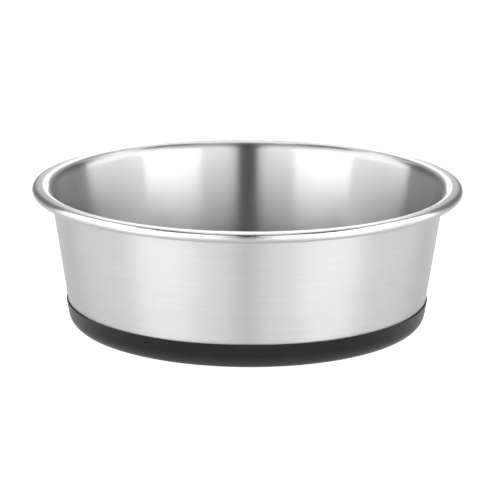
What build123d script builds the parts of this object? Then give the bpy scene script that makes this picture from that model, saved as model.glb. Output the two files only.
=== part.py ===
from build123d import *
from math import acos, cos, degrees, radians, sin, tan
import os

# Stainless dog bowl: a deep-drawn steel pan with a rolled rim, bonded into a rubber foot ring.
# Millimetres, +Z up, origin on the table under the middle of the bowl.

# Whole bowl
rim_diameter = 216.0
overall_height = 71.3
foot_height = 3.0  # table to the underside of the steel floor

# Steel pan
sheet = 1.0
wall_taper = 8.5  # degrees that the wall leans outwards
corner_radius = 11.5  # outside of the sheet, between floor and wall
flare_radius = 4.4  # outside of the sheet, between wall and rim
land_width = 2.6  # flat of the rim, from the flare to the bead
bead_diameter = 4.8
curl_angle = 270.0  # how far the edge of the sheet is rolled under
panel_rise = 1.0  # step of the pressed panel in the middle of the floor
panel_bend_radius = 1.5  # inside of both bends of that step
panel_margin = 2.0  # flat floor between the step and the foot ring

# Rubber foot ring
base_height = 13.0
base_taper = 9.3  # degrees that the side of the ring leans outwards
lip_proud = 0.75  # how far the top of the ring stands out from the wall
lip_round = 0.3
foot_round = 7.0  # lower outer edge
seat_width = 20.0  # ring under the flat of the floor
inner_round = 1.0  # lower inner edge
tread_count = 4
tread_radius = 0.8  # half-round grooves in the underside

# Bond between pan and ring
bond = 0.25  # gap between the two, which the film fills under the flat floor
bond_setback = 1.2  # the film stops short of both edges of that flat

# Rim, worked inwards from its outside
square = 90.0
wall_angle = square - wall_taper
lean = radians(wall_taper)
bead_radius = bead_diameter / 2
bead_centre_radius = rim_diameter / 2 - bead_radius
land_underside = overall_height - sheet
flare_end_radius = bead_centre_radius - land_width

# Straight wall, from the flare down to the corner
wall_top_radius = flare_end_radius - flare_radius * cos(lean)
wall_top_height = land_underside - flare_radius + flare_radius * sin(lean)
wall_foot_height = foot_height + corner_radius - corner_radius * sin(lean)
wall_foot_radius = wall_top_radius - (wall_top_height - wall_foot_height) * tan(lean)
floor_radius = wall_foot_radius - corner_radius * cos(lean)

# Foot ring and the pressed panel that lies inside it
lip_radius = wall_foot_radius - (wall_foot_height - base_height) * tan(lean) + lip_proud
side_foot_radius = lip_radius - base_height * tan(radians(base_taper))
ring_inner_radius = floor_radius - seat_width
tread_spacing = (side_foot_radius - ring_inner_radius - foot_round) / (tread_count + 1)
panel_bends = panel_bend_radius + panel_bend_radius + sheet
step_angle = degrees(acos(1 - panel_rise / panel_bends))
panel_radius = ring_inner_radius - panel_margin - panel_bends * sin(radians(step_angle))
panel_height = foot_height + panel_rise


# One face of the sheet, from the middle of the floor to the rolled edge, moved inwards from the outside
def sheet_face(inwards):
    with BuildLine(mode=Mode.PRIVATE) as face:
        panel = Line((0, panel_height + inwards), (panel_radius, panel_height + inwards))
        step_down = JernArc(panel @ 1, panel % 1, panel_bend_radius + inwards, -step_angle)
        step_out = JernArc(step_down @ 1, step_down % 1, panel_bend_radius + sheet - inwards, step_angle)
        floor = Line(step_out @ 1, (floor_radius, foot_height + inwards))
        corner = JernArc(floor @ 1, floor % 1, corner_radius - inwards, wall_angle)
        wall_top = (wall_top_radius - inwards * cos(lean), wall_top_height + inwards * sin(lean))
        wall = Line(corner @ 1, wall_top)
        flare = JernArc(wall @ 1, wall % 1, flare_radius + inwards, -wall_angle)
        land = Line(flare @ 1, (bead_centre_radius, land_underside + inwards))
        JernArc(land @ 1, land % 1, bead_radius - sheet + inwards, -curl_angle)
    return face.wire()


# The pan is one sheet of steel
with BuildPart() as bowl_shell:
    with BuildSketch(Plane.XZ):
        with BuildLine():
            outside = sheet_face(0)
            inside = sheet_face(sheet)
            add([outside, inside])
            Line(outside @ 0, inside @ 0)
            Line(outside @ 1, inside @ 1)
        make_face()
    revolve(axis=Axis.Z)

# The ring wraps the corner of the pan, with round treads under it
with BuildPart() as rubber_base:
    with BuildSketch(Plane.XZ) as ring_section:
        with BuildLine():
            foot = Line((ring_inner_radius, 0), (side_foot_radius, 0))
            side = Line(foot @ 1, (lip_radius, base_height))
            Polyline(side @ 1, (ring_inner_radius, base_height), foot @ 0)
        make_face()
        with BuildLine():
            seat = Line((0, foot_height - bond), (floor_radius, foot_height - bond))
            seat_corner = JernArc(seat @ 1, seat % 1, corner_radius + bond, wall_angle)
            seat_wall = PolarLine(seat_corner @ 1, base_height, direction=seat_corner % 1)
            Polyline(seat_wall @ 1, (0, (seat_wall @ 1).Y), seat @ 0)
        make_face(mode=Mode.SUBTRACT)
        fillet(ring_section.vertices().sort_by_distance(foot @ 1)[0], foot_round)
        fillet(ring_section.vertices().sort_by_distance(side @ 1)[0], lip_round)
        fillet(ring_section.vertices().sort_by_distance(foot @ 0)[0], inner_round)
        with Locations(*[(ring_inner_radius + n * tread_spacing, 0) for n in range(1, tread_count + 1)]):
            Circle(tread_radius, mode=Mode.SUBTRACT)
    revolve(axis=Axis.Z)

# The film is a flat washer of adhesive between the floor of the pan and the seat of the ring
with BuildPart() as bond_film:
    with BuildSketch(Plane.XY.offset(foot_height - bond)):
        Circle(floor_radius - bond_setback)
        Circle(ring_inner_radius + bond_setback, mode=Mode.SUBTRACT)
    extrude(amount=bond)

os.makedirs("parts", exist_ok=True)
bowl_shell.part.label = "bowl_shell"
export_step(bowl_shell.part, "parts/bowl_shell.step")
rubber_base.part.label = "rubber_base"
export_step(rubber_base.part, "parts/rubber_base.step")
bond_film.part.label = "bond_film"
export_step(bond_film.part, "parts/bond_film.step")

print(f"bowl {rim_diameter:.1f} across, {overall_height:.1f} high, wall foot radius {wall_foot_radius:.2f}")
print(f"floor radius {floor_radius:.2f}, ring {ring_inner_radius:.2f} to {lip_radius:.2f}")
print(f"pressed panel radius {panel_radius:.2f}, tread spacing {tread_spacing:.2f}")
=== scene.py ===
import bpy
import numpy as np
from math import acos, cos, pi, radians, sin, tan
from mathutils import Matrix, Vector


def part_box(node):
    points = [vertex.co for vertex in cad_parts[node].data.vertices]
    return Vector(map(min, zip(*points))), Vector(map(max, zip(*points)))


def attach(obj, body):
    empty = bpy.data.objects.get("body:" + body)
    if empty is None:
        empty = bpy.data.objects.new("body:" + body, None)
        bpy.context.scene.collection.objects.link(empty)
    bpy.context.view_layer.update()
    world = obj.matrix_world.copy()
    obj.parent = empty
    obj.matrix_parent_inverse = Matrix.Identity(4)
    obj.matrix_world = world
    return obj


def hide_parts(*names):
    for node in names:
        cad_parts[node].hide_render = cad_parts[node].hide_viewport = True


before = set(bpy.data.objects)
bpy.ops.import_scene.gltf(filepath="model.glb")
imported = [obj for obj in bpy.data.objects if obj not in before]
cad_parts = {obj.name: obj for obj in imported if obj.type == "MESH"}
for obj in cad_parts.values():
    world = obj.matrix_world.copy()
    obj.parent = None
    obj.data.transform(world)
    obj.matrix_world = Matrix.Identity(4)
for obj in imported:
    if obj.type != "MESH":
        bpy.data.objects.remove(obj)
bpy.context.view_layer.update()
scene = bpy.context.scene

# Stainless dog bowl: a spun steel pan with a rolled rim, standing in a black rubber foot ring.
# Metres, +Z up, the origin on the floor under the middle of the bowl.


# Profiles, as rows of (radius, height)

# straight run: start + t (end - start), t from 0 to 1
def straightRun(start, end, count):
    t = np.linspace(0, 1, count)[:, None]
    return np.array(start) + t * (np.array(end) - np.array(start))


# round run that leaves a point along a heading and turns by an angle, both in radians:
# centre = point + radius to the turning side, and each point is the centre plus the radius turned round it
def roundRun(point, heading, radius, turned, count):
    reach = np.sign(turned) * radius
    angles = heading + np.linspace(0, turned, count)
    centre = point + reach * np.array([-sin(heading), cos(heading)])
    return centre - reach * np.column_stack([-np.sin(angles), np.cos(angles)])


# runs end to end: the point that two runs share is kept once, and each face gets its run's finish
def joinRuns(runs):
    rows = [runs[0][1]] + [run[1:] for finish, run in runs[1:]]
    finishes = [np.full(len(run) - 1, finish) for finish, run in runs]
    return np.vstack(rows), np.concatenate(finishes)


onAxis = 1e-9  # a radius below this is the axis
sharpAngle = radians(40)  # edges that turn more than this stay crisp


# profile carried round the axis: x = r cos a, y = r sin a, z = h. A profile that starts and ends on the
# axis gets a pole point at both ends, any other is closed onto its first row. Faces lie to its left.
def spinProfile(name, profile, finishes, around, materials):
    poles = profile[0, 0] < onAxis
    rings = profile[1:-1] if poles else profile[:-1]
    a = np.linspace(0, 2 * pi, around, endpoint=False)
    radius, height = rings[:, :1], rings[:, 1:]
    points = np.stack([radius * np.cos(a), radius * np.sin(a), height + 0 * a], axis=-1).reshape(-1, 3)
    index = np.arange(len(points)).reshape(len(rings), around)
    if not poles:
        index = np.vstack([index, index[:1]])
    turned = np.roll(index, -1, axis=1)
    quads = np.stack([index[:-1], index[1:], turned[1:], turned[:-1]], axis=-1).reshape(-1, 4)
    faces = quads.tolist()
    finish = np.repeat(finishes[1:-1] if poles else finishes, around)
    if poles:
        first, last = len(points), len(points) + 1
        points = np.vstack([points, [0, 0, profile[0, 1]], [0, 0, profile[-1, 1]]])
        faces += np.column_stack([np.full(around, first), index[0], turned[0]]).tolist()
        faces += np.column_stack([np.full(around, last), turned[-1], index[-1]]).tolist()
        finish = np.concatenate([finish, np.full(around, finishes[0]), np.full(around, finishes[-1])])
    mesh = bpy.data.meshes.new(name)
    mesh.from_pydata(points.tolist(), [], faces)
    mesh.polygons.foreach_set("use_smooth", np.ones(len(faces), bool))
    mesh.polygons.foreach_set("material_index", finish.astype(np.int32))
    for material in materials:
        mesh.materials.append(material)
    mesh.update()
    mesh.set_sharp_from_angle(angle=sharpAngle)
    piece = bpy.data.objects.new(name, mesh)
    scene.collection.objects.link(piece)
    print(f"{name}: {len(points)} points, {len(faces)} faces")
    return piece


# Node helpers

mmPerMetre = 1000.0
noiseRange = (0.3, 0.7)  # where most of a noise's values lie


def addNode(tree, kind, inputs=None, **settings):
    node = tree.nodes.new(kind)
    for key, value in settings.items():
        setattr(node, key, value)
    for key, value in (inputs or {}).items():
        if isinstance(value, bpy.types.NodeSocket):
            tree.links.new(value, node.inputs[key])
        else:
            node.inputs[key].default_value = value
    return node


def maths(tree, operation, first, second=0.0):
    return addNode(tree, "ShaderNodeMath", {0: first, 1: second}, operation=operation).outputs[0]


def spread(tree, value, fromLow, fromHigh, toLow, toHigh):
    ends = {"From Min": fromLow, "From Max": fromHigh, "To Min": toLow, "To Max": toHigh}
    return addNode(tree, "ShaderNodeMapRange", {"Value": value, **ends}).outputs["Result"]


def newGroup(name, inputs, outputs):
    group = bpy.data.node_groups.new(name, "ShaderNodeTree")
    for label, value in inputs.items():
        socket = group.interface.new_socket(label, in_out="INPUT", socket_type="NodeSocketFloat")
        socket.default_value = value
    for label in outputs:
        group.interface.new_socket(label, in_out="OUTPUT", socket_type="NodeSocketFloat")
    return group, group.nodes.new("NodeGroupInput"), group.nodes.new("NodeGroupOutput")


turningShares = {"Fine": 1.0, "Broad": 0.16}  # how close the lines of each output lie


# Marks of a turning tool or a polishing wheel: noise over (x/r, y/r, r + z), long round the axis and
# short across it
def turningGroup():
    asked = {"Lines per mm": 4.0, "Lines round": 5.0}
    group, given, out = newGroup("turningLines", asked, list(turningShares))
    place = addNode(group, "ShaderNodeTexCoord").outputs["Object"]
    axes = addNode(group, "ShaderNodeSeparateXYZ", {0: place}).outputs
    flat = addNode(group, "ShaderNodeCombineXYZ", {"X": axes["X"], "Y": axes["Y"]}).outputs[0]
    radius = addNode(group, "ShaderNodeVectorMath", {0: flat}, operation="LENGTH").outputs["Value"]
    way = addNode(group, "ShaderNodeVectorMath", {0: flat}, operation="NORMALIZE").outputs[0]
    across = maths(group, "MULTIPLY", maths(group, "ADD", radius, axes["Z"]), mmPerMetre)
    for label, share in turningShares.items():
        density = maths(group, "MULTIPLY", given.outputs["Lines per mm"], share)
        step = maths(group, "MULTIPLY", across, density)
        turns = maths(group, "MULTIPLY", given.outputs["Lines round"], share ** 0.5)
        round_ = addNode(group, "ShaderNodeVectorMath", {0: way, 3: turns}, operation="SCALE").outputs[0]
        lift = addNode(group, "ShaderNodeCombineXYZ", {"Z": step}).outputs[0]
        spot = addNode(group, "ShaderNodeVectorMath", {0: round_, 1: lift}, operation="ADD").outputs[0]
        noise = addNode(group, "ShaderNodeTexNoise", {"Vector": spot, "Scale": 1.0, "Detail": 2.0})
        group.links.new(noise.outputs[0], out.inputs[label])
    return group


markRange = (0.45, 0.75)  # noise at which a mark begins and is full


# Faint cloudy marks of handling and wiping, 0 for clean
def handlingGroup():
    group, given, out = newGroup("handMarks", {"Size mm": 30.0}, ["Mask"])
    place = addNode(group, "ShaderNodeTexCoord").outputs["Object"]
    scale = maths(group, "DIVIDE", mmPerMetre, given.outputs["Size mm"])
    cloud = addNode(group, "ShaderNodeTexNoise", {"Vector": place, "Scale": scale, "Detail": 4.0})
    group.links.new(spread(group, cloud.outputs[0], *markRange, 0.0, 1.0), out.inputs["Mask"])
    return group


# Fine grain of a moulded face, as a height from 0 to 1
def grainGroup():
    group, given, out = newGroup("mouldGrain", {"Grain mm": 0.4}, ["Height"])
    place = addNode(group, "ShaderNodeTexCoord").outputs["Object"]
    scale = maths(group, "DIVIDE", mmPerMetre, given.outputs["Grain mm"])
    grain = addNode(group, "ShaderNodeTexNoise", {"Vector": place, "Scale": scale, "Detail": 3.0})
    group.links.new(grain.outputs[0], out.inputs["Height"])
    return group


turningLines, handMarks, mouldGrain = turningGroup(), handlingGroup(), grainGroup()


def newMaterial(name):
    material = bpy.data.materials.new(name)
    material.use_nodes = True
    return material, material.node_tree, material.node_tree.nodes["Principled BSDF"]


def useGroup(tree, group, **values):
    node = addNode(tree, "ShaderNodeGroup", node_tree=group)
    for label, value in values.items():
        node.inputs[label.replace("_", " ")].default_value = value
    return node.outputs


# Stainless steel with turned marks: the lines shift its tone and gloss a little and stand in low relief
def turnedSteel(finish):
    material, tree, steel = newMaterial(finish["name"])
    lines = useGroup(tree, turningLines, Lines_per_mm=finish["linesPerMm"], Lines_round=finish["linesRound"])
    marks = useGroup(tree, handMarks, Size_mm=finish["marksMm"])["Mask"]
    fineHalf = maths(tree, "MULTIPLY", lines["Fine"], 0.5)
    broadHalf = maths(tree, "MULTIPLY", lines["Broad"], 0.5)
    both = maths(tree, "ADD", fineHalf, broadHalf)
    grey, change = finish["grey"], finish["toneChange"]
    tone = spread(tree, both, *noiseRange, grey - change, grey + change)
    colour = addNode(tree, "ShaderNodeCombineColor", {"Red": tone, "Green": tone, "Blue": tone}).outputs[0]
    dull, dullChange = finish["rough"], finish["roughChange"]
    rough = spread(tree, lines["Fine"], *noiseRange, dull - dullChange, dull + dullChange)
    dulled = maths(tree, "ADD", rough, maths(tree, "MULTIPLY", marks, finish["marksDull"]))
    relief = finish["reliefMm"] / mmPerMetre
    bump = addNode(tree, "ShaderNodeBump", {"Strength": 1.0, "Distance": relief, "Height": both})
    tree.links.new(colour, steel.inputs["Base Color"])
    tree.links.new(dulled, steel.inputs["Roughness"])
    tree.links.new(bump.outputs[0], steel.inputs["Normal"])
    steel.inputs["Metallic"].default_value = 1.0
    steel.inputs["Anisotropic"].default_value = finish["drawn"]
    steel.inputs["Anisotropic Rotation"].default_value = 0.25  # blur across the lines
    return material


# grey sets the steel's tone: the outside's 0.45 and the inside's 0.47 make darker copies of the same steel,
# painted shade
outsideFinish = {
    "name": "brushedOutside", "grey": 0.45, "toneChange": 0.02, "rough": 0.36, "roughChange": 0.02,
    "drawn": 0.85, "linesPerMm": 4.0, "linesRound": 6.0, "reliefMm": 0.0012,
    "marksMm": 40, "marksDull": 0.02,
}
insideFinish = {
    "name": "spunInside", "grey": 0.47, "toneChange": 0.005, "rough": 0.29, "roughChange": 0.003,
    "drawn": 1.0, "linesPerMm": 3.0, "linesRound": 4.0, "reliefMm": 0.0001,
    "marksMm": 50, "marksDull": 0.006,
}
# the rim's grey of 0.82 makes a lighter copy of the same steel, a painted highlight
rimFinish = {
    "name": "polishedRim", "grey": 0.82, "toneChange": 0.01, "rough": 0.21, "roughChange": 0.01,
    "drawn": 0.85, "linesPerMm": 6.0, "linesRound": 5.0, "reliefMm": 0.0004,
    "marksMm": 25, "marksDull": 0.02,
}
underFinish = {
    "name": "dullUnderside", "grey": 0.66, "toneChange": 0.04, "rough": 0.42, "roughChange": 0.05,
    "drawn": 0.6, "linesPerMm": 2.0, "linesRound": 4.0, "reliefMm": 0.003,
    "marksMm": 30, "marksDull": 0.06,
}


# Steel pan, in place of the plain one: the same sheet, with its own finish inside, outside, on the rim
# and below. dullFlare is the share of the flare that keeps the finish of the wall, and polished is how
# far round the bead the finish of the rim goes.
pan = {
    "sheet": 0.001, "wallTaper": radians(8.5), "cornerRadius": 0.0115, "flareRadius": 0.0044,
    "landWidth": 0.0026, "beadRadius": 0.0024, "curl": radians(270),
    "panelRise": 0.001, "panelBend": 0.0015, "panelMargin": 0.002,
    "dullFlare": 0.5, "polished": radians(60), "around": 288,
}
panSteps = {  # points along each run of the sheet
    "panel": 10, "step": 7, "floor": 6, "corner": 24, "wall": 28, "flareFoot": 10, "flare": 16,
    "land": 6, "beadTop": 13, "curl": 43, "edge": 3,
}
ring = {
    "taper": radians(9.3), "lipProud": 0.00075, "lipRound": 0.0003, "footRound": 0.007, "seatWidth": 0.02,
    "innerRound": 0.001, "treads": 4, "treadRadius": 0.0008, "bond": 0.00025, "around": 240,
}

panLow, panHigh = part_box("bowl_shell")
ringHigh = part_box("rubber_base")[1]
inside, rim, outside, under = range(4)  # finishes of the pan, in the order of its materials

lean = pan["wallTaper"]
steep = pi / 2 - lean
beadCentre = panHigh.x - pan["beadRadius"]
landUnderside = panHigh.z - pan["sheet"]
flareEnd = beadCentre - pan["landWidth"]
wallTopRadius = flareEnd - pan["flareRadius"] * cos(lean)
wallTopHeight = landUnderside - pan["flareRadius"] * (1 - sin(lean))
wallTop = np.array([wallTopRadius, wallTopHeight])
wallFootHeight = panLow.z + pan["cornerRadius"] * (1 - sin(lean))
wallFootRadius = wallTop[0] - (wallTop[1] - wallFootHeight) * tan(lean)
floorRadius = wallFootRadius - pan["cornerRadius"] * cos(lean)
lipRadius = wallFootRadius - (wallFootHeight - ringHigh.z) * tan(lean) + ring["lipProud"]
ringInner = floorRadius - ring["seatWidth"]
bends = 2 * pan["panelBend"] + pan["sheet"]
stepTurn = acos(1 - pan["panelRise"] / bends)
panelRadius = ringInner - pan["panelMargin"] - bends * sin(stepTurn)
panelHeight = panLow.z + pan["panelRise"]


# one face of the sheet from the axis to the rolled edge, moved inwards from the outside
def sheetFace(inwards, below, side):
    panelEnd = (panelRadius, panelHeight + inwards)
    panel = straightRun((0, panelHeight + inwards), panelEnd, panSteps["panel"])
    stepDown = roundRun(panel[-1], 0, pan["panelBend"] + inwards, -stepTurn, panSteps["step"])
    outBend = pan["panelBend"] + pan["sheet"] - inwards
    stepOut = roundRun(stepDown[-1], -stepTurn, outBend, stepTurn, panSteps["step"])
    floor = straightRun(stepOut[-1], (floorRadius, panLow.z + inwards), panSteps["floor"])
    corner = roundRun(floor[-1], 0, pan["cornerRadius"] - inwards, steep, panSteps["corner"])
    wallEnd = wallTop + inwards * np.array([-cos(lean), sin(lean)])
    wall = straightRun(corner[-1], wallEnd, panSteps["wall"])
    flareRadius = pan["flareRadius"] + inwards
    footTurn = steep * pan["dullFlare"]
    flareFoot = roundRun(wall[-1], steep, flareRadius, -footTurn, panSteps["flareFoot"])
    flareTurn = steep * (1 - pan["dullFlare"])
    flare = roundRun(flareFoot[-1], flareTurn, flareRadius, -flareTurn, panSteps["flare"])
    land = straightRun(flare[-1], (beadCentre, landUnderside + inwards), panSteps["land"])
    bead = pan["beadRadius"] - pan["sheet"] + inwards
    beadTop = roundRun(land[-1], 0, bead, -pan["polished"], panSteps["beadTop"])
    rest = pan["polished"] - pan["curl"]
    curl = roundRun(beadTop[-1], -pan["polished"], bead, rest, panSteps["curl"])
    low = [(below, run) for run in (panel, stepDown, stepOut, floor, corner)]
    middle = [(side, wall), (side, flareFoot)]
    top = [(rim, flare), (rim, land), (rim, beadTop), (outside, curl)]
    return low + middle + top


foodSide = sheetFace(pan["sheet"], inside, inside)
farSide = [(finish, run[::-1]) for finish, run in reversed(sheetFace(0, under, outside))]
edge = straightRun(foodSide[-1][1][-1], farSide[0][1][0], panSteps["edge"])
panRows, panFinishes = joinRuns(foodSide + [(outside, edge)] + farSide)
panMaterials = [turnedSteel(f) for f in (insideFinish, rimFinish, outsideFinish, underFinish)]
steelPan = spinProfile("steelPan", panRows, panFinishes, pan["around"], panMaterials)
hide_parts("bowl_shell")
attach(steelPan, "root")


# Rubber: black, with a fine grain, a slight bloom in patches and a painted reflection of the floor that
# makes it paler low down, near the floor
rubberFinish = {
    "black": 0.006, "bloom": 0.003, "floorReflection": 0.025, "floorReflectionHeight": 0.007, "marksMm": 18,
    "rough": 0.34, "roughChange": 0.05, "shine": 0.16, "grainMm": 0.35, "reliefMm": 0.004,
}


def mouldedRubber():
    material, tree, rubber = newMaterial("footRubber")
    grain = useGroup(tree, mouldGrain, Grain_mm=rubberFinish["grainMm"])["Height"]
    marks = useGroup(tree, handMarks, Size_mm=rubberFinish["marksMm"])["Mask"]
    clean = maths(tree, "ADD", maths(tree, "MULTIPLY", marks, rubberFinish["bloom"]), rubberFinish["black"])
    place = addNode(tree, "ShaderNodeTexCoord").outputs["Object"]
    height = addNode(tree, "ShaderNodeSeparateXYZ", {0: place}).outputs["Z"]
    # painted reflection of the floor: the rubber's tone is raised near the floor and fades out a few
    # millimetres up
    paintedFloorReflection = spread(tree, height, 0.0, rubberFinish["floorReflectionHeight"], rubberFinish["floorReflection"], 0.0)
    tone = maths(tree, "ADD", clean, paintedFloorReflection)
    colour = addNode(tree, "ShaderNodeCombineColor", {"Red": tone, "Green": tone, "Blue": tone}).outputs[0]
    dull, dullChange = rubberFinish["rough"], rubberFinish["roughChange"]
    rough = spread(tree, grain, *noiseRange, dull - dullChange, dull + dullChange)
    relief = rubberFinish["reliefMm"] / mmPerMetre
    bump = addNode(tree, "ShaderNodeBump", {"Strength": 1.0, "Distance": relief, "Height": grain})
    rubber.inputs["Specular IOR Level"].default_value = rubberFinish["shine"]
    tree.links.new(colour, rubber.inputs["Base Color"])
    tree.links.new(rough, rubber.inputs["Roughness"])
    tree.links.new(bump.outputs[0], rubber.inputs["Normal"])
    return material


# Foot ring, in place of the plain one: its section is a loop with rounded edges and half-round treads
ringSteps = {  # points along each run of the loop
    "innerEdge": 8, "band": 3, "tread": 12, "foot": 4, "footRound": 26, "side": 12, "lip": 8, "top": 3,
    "seatWall": 4, "seatCorner": 24, "seat": 6, "bore": 4,
}
sideSteep = pi / 2 - ring["taper"]
sideFoot = lipRadius - ringHigh.z * tan(ring["taper"])
treadStep = (sideFoot - ringInner - ring["footRound"]) / (ring["treads"] + 1)


def ringSection():
    innerStart = (ringInner, ring["innerRound"])
    innerEdge = roundRun(innerStart, -pi / 2, ring["innerRound"], pi / 2, ringSteps["innerEdge"])
    runs = [innerEdge]
    for n in range(1, ring["treads"] + 1):
        middle = ringInner + n * treadStep
        bandEnd = (middle - ring["treadRadius"], 0)
        runs.append(straightRun(runs[-1][-1], bandEnd, ringSteps["band"]))
        runs.append(roundRun(runs[-1][-1], pi / 2, ring["treadRadius"], -pi, ringSteps["tread"]))
    cut = ring["footRound"] * tan(sideSteep / 2)
    runs.append(straightRun(runs[-1][-1], (sideFoot - cut, 0), ringSteps["foot"]))
    runs.append(roundRun(runs[-1][-1], 0, ring["footRound"], sideSteep, ringSteps["footRound"]))
    lipCut = ring["lipRound"] * tan((pi - sideSteep) / 2)
    lipStart = (lipRadius - lipCut * cos(sideSteep), ringHigh.z - lipCut * sin(sideSteep))
    runs.append(straightRun(runs[-1][-1], lipStart, ringSteps["side"]))
    lipTurn = pi - sideSteep
    runs.append(roundRun(runs[-1][-1], sideSteep, ring["lipRound"], lipTurn, ringSteps["lip"]))
    seat = pan["cornerRadius"] + ring["bond"]
    seatFootHeight = panLow.z + pan["cornerRadius"] - seat * sin(lean)
    seatFoot = np.array([floorRadius + seat * cos(lean), seatFootHeight])
    seatTop = (seatFoot[0] + (ringHigh.z - seatFoot[1]) * tan(lean), ringHigh.z)
    runs.append(straightRun(runs[-1][-1], seatTop, ringSteps["top"]))
    if seatFoot[1] < ringHigh.z:
        runs.append(straightRun(seatTop, seatFoot, ringSteps["seatWall"]))
    runs.append(roundRun(runs[-1][-1], -pi / 2 - lean, seat, -steep, ringSteps["seatCorner"]))
    seatEnd = (ringInner, panLow.z - ring["bond"])
    runs.append(straightRun(runs[-1][-1], seatEnd, ringSteps["seat"]))
    runs.append(straightRun(runs[-1][-1], innerStart, ringSteps["bore"]))
    return joinRuns([(0, run) for run in runs])


ringRows, ringFinishes = ringSection()
footRing = spinProfile("footRing", ringRows[::-1], ringFinishes, ring["around"], [mouldedRubber()])
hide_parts("rubber_base")
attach(footRing, "root")


# Bond under the pan, between it and the ring: cured adhesive, unevenly dark
bondFinish = {"grainMm": 1.2, "dark": 0.04, "pale": 0.08, "gloss": 0.45, "dull": 0.7}


def curedBond():
    material, tree, bond = newMaterial("curedBond")
    grain = useGroup(tree, mouldGrain, Grain_mm=bondFinish["grainMm"])["Height"]
    tone = spread(tree, grain, *noiseRange, bondFinish["dark"], bondFinish["pale"])
    colour = addNode(tree, "ShaderNodeCombineColor", {"Red": tone, "Green": tone, "Blue": tone}).outputs[0]
    tree.links.new(colour, bond.inputs["Base Color"])
    rough = spread(tree, grain, *noiseRange, bondFinish["gloss"], bondFinish["dull"])
    tree.links.new(rough, bond.inputs["Roughness"])
    return material


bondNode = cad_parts["bond_film"]
bondNode.data.materials.clear()
bondNode.data.materials.append(curedBond())
print("materials:", ", ".join(material.name for material in bpy.data.materials))


# Floor, light and camera
studio = {
    "floorSize": 8.0, "floorGrey": 0.5, "floorRough": 0.7, "floorGlow": 0.48, "floorShown": 0.85,
    "roomGrey": 0.0, "backdrop": 1.0, "reach": 1.6, "aim": Vector((0, 0, 0.05)),
}

floorMesh = bpy.data.meshes.new("floor")
half = studio["floorSize"] / 2
floorCorners = [(-half, -half, 0), (half, -half, 0), (half, half, 0), (-half, half, 0)]
floorMesh.from_pydata(floorCorners, [], [(0, 1, 2, 3)])
floor = bpy.data.objects.new("floor", floorMesh)
scene.collection.objects.link(floor)
floorMaterial, floorTree, floorShader = newMaterial("paleFloor")
floorShader.inputs["Base Color"].default_value = (*[studio["floorGrey"]] * 3, 1)
floorShader.inputs["Roughness"].default_value = studio["floorRough"]
floorShader.inputs["Emission Color"].default_value = (1, 1, 1, 1)
floorMesh.materials.append(floorMaterial)


# the floor and the room are white to the camera and dimmer in the steel, like a bleached background
def shownLevel(tree, inSteel, toCamera):
    seen = addNode(tree, "ShaderNodeLightPath").outputs["Is Camera Ray"]
    return spread(tree, seen, 0.0, 1.0, inSteel, toCamera)


floorLevel = shownLevel(floorTree, studio["floorGlow"], studio["floorShown"])
floorTree.links.new(floorLevel, floorShader.inputs["Emission Strength"])

world = bpy.data.worlds.new("studioRoom")
scene.world = world
world.use_nodes = True
room = world.node_tree.nodes["Background"]
roomLevel = shownLevel(world.node_tree, studio["roomGrey"], studio["backdrop"])
world.node_tree.links.new(roomLevel, room.inputs["Strength"])
room.inputs["Color"].default_value = (1, 1, 1, 1)

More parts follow.
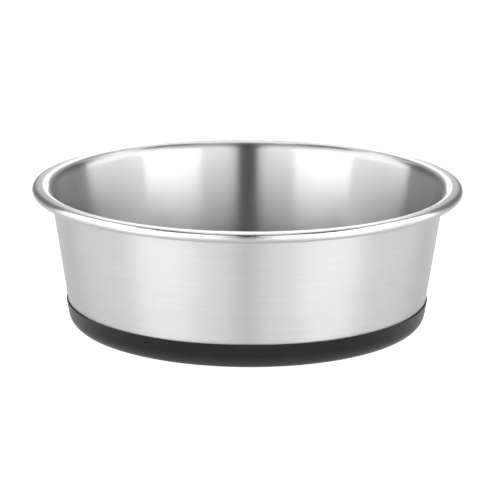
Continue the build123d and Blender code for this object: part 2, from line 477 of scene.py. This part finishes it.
# softboxes in degrees as the bowl sees them: sides are the azimuths of their middles from the camera's
# side, low and high are elevations. Nothing stands near the camera, which leaves the dark streak inside.
softboxes = {
    "nearStrip": {"sides": (-18.5, 18.5), "wide": 24, "low": 0, "high": 15, "glow": 6.4},
    "keyStrip": {"sides": (-49, 49), "wide": 37, "low": 0, "high": 15, "glow": 11.0},
    "sideStrip": {"sides": (-92, 92), "wide": 49, "low": 0, "high": 19, "glow": 4.0},
    "highBox": {"sides": (-38, 38), "wide": 54, "low": 30, "high": 57, "glow": 2.2},
    "highSideBox": {"sides": (-95, 95), "wide": 58, "low": 26, "high": 57, "glow": 2.5},
    "sideBackBox": {"sides": (-141, 141), "wide": 40, "low": 0, "high": 34, "glow": 0.2},
    "highBackBox": {"sides": (-141, 141), "wide": 36, "low": 34, "high": 60, "glow": 0.6},
    "backBox": {"sides": (180,), "wide": 15, "low": 4, "high": 36, "glow": 1.5},
    "backWing": {"sides": (-166, 166), "wide": 12, "low": 4, "high": 36, "glow": 0.35},
    "topBox": {"sides": (180,), "wide": 50, "low": 40, "high": 88, "glow": 1.05},
}


# a box stands at studio["reach"] and faces the bowl; glow is its brightness, power = glow pi width height
def addSoftbox(name, azimuth, box):
    middle = radians(box["low"] + box["high"]) / 2
    halfHigh = radians(box["high"] - box["low"]) / 2
    light = bpy.data.lights.new(name, "AREA")
    light.shape = "RECTANGLE"
    light.size = 2 * studio["reach"] * cos(middle) * tan(radians(box["wide"]) / 2)
    light.size_y = 2 * studio["reach"] * tan(halfHigh)
    light.energy = box["glow"] * pi * light.size * light.size_y
    lamp = bpy.data.objects.new(name, light)
    scene.collection.objects.link(lamp)
    angle = radians(azimuth)
    outwards = Vector((cos(middle) * sin(angle), -cos(middle) * cos(angle), sin(middle)))
    lamp.location = studio["aim"] + studio["reach"] * outwards
    lamp.rotation_euler = (-outwards).to_track_quat("-Z", "Y").to_euler()
    lamp.visible_camera = False


for name, box in softboxes.items():
    for azimuth in box["sides"]:
        addSoftbox(name, azimuth, box)
print(f"lights: {len(bpy.data.lights)} softboxes")

shot = {
    "place": (0, -1.2631, 0.3620), "aim": (0.00144, 0, 0.03606), "lens": 185.7, "sensor": 36.0,
    "roll": 0.0064,
}

cameraData = bpy.data.cameras.new("camera")
cameraData.lens = shot["lens"]
cameraData.sensor_width = shot["sensor"]
camera = bpy.data.objects.new("camera", cameraData)
scene.collection.objects.link(camera)
look = (Vector(shot["aim"]) - Vector(shot["place"])).to_track_quat("-Z", "Y").to_matrix().to_4x4()
camera.matrix_world = Matrix.Translation(shot["place"]) @ look @ Matrix.Rotation(shot["roll"], 4, "Z")
scene.camera = camera
scene.view_settings.view_transform = "Standard"
print(f"camera: {shot['lens']} mm at {shot['place']}")
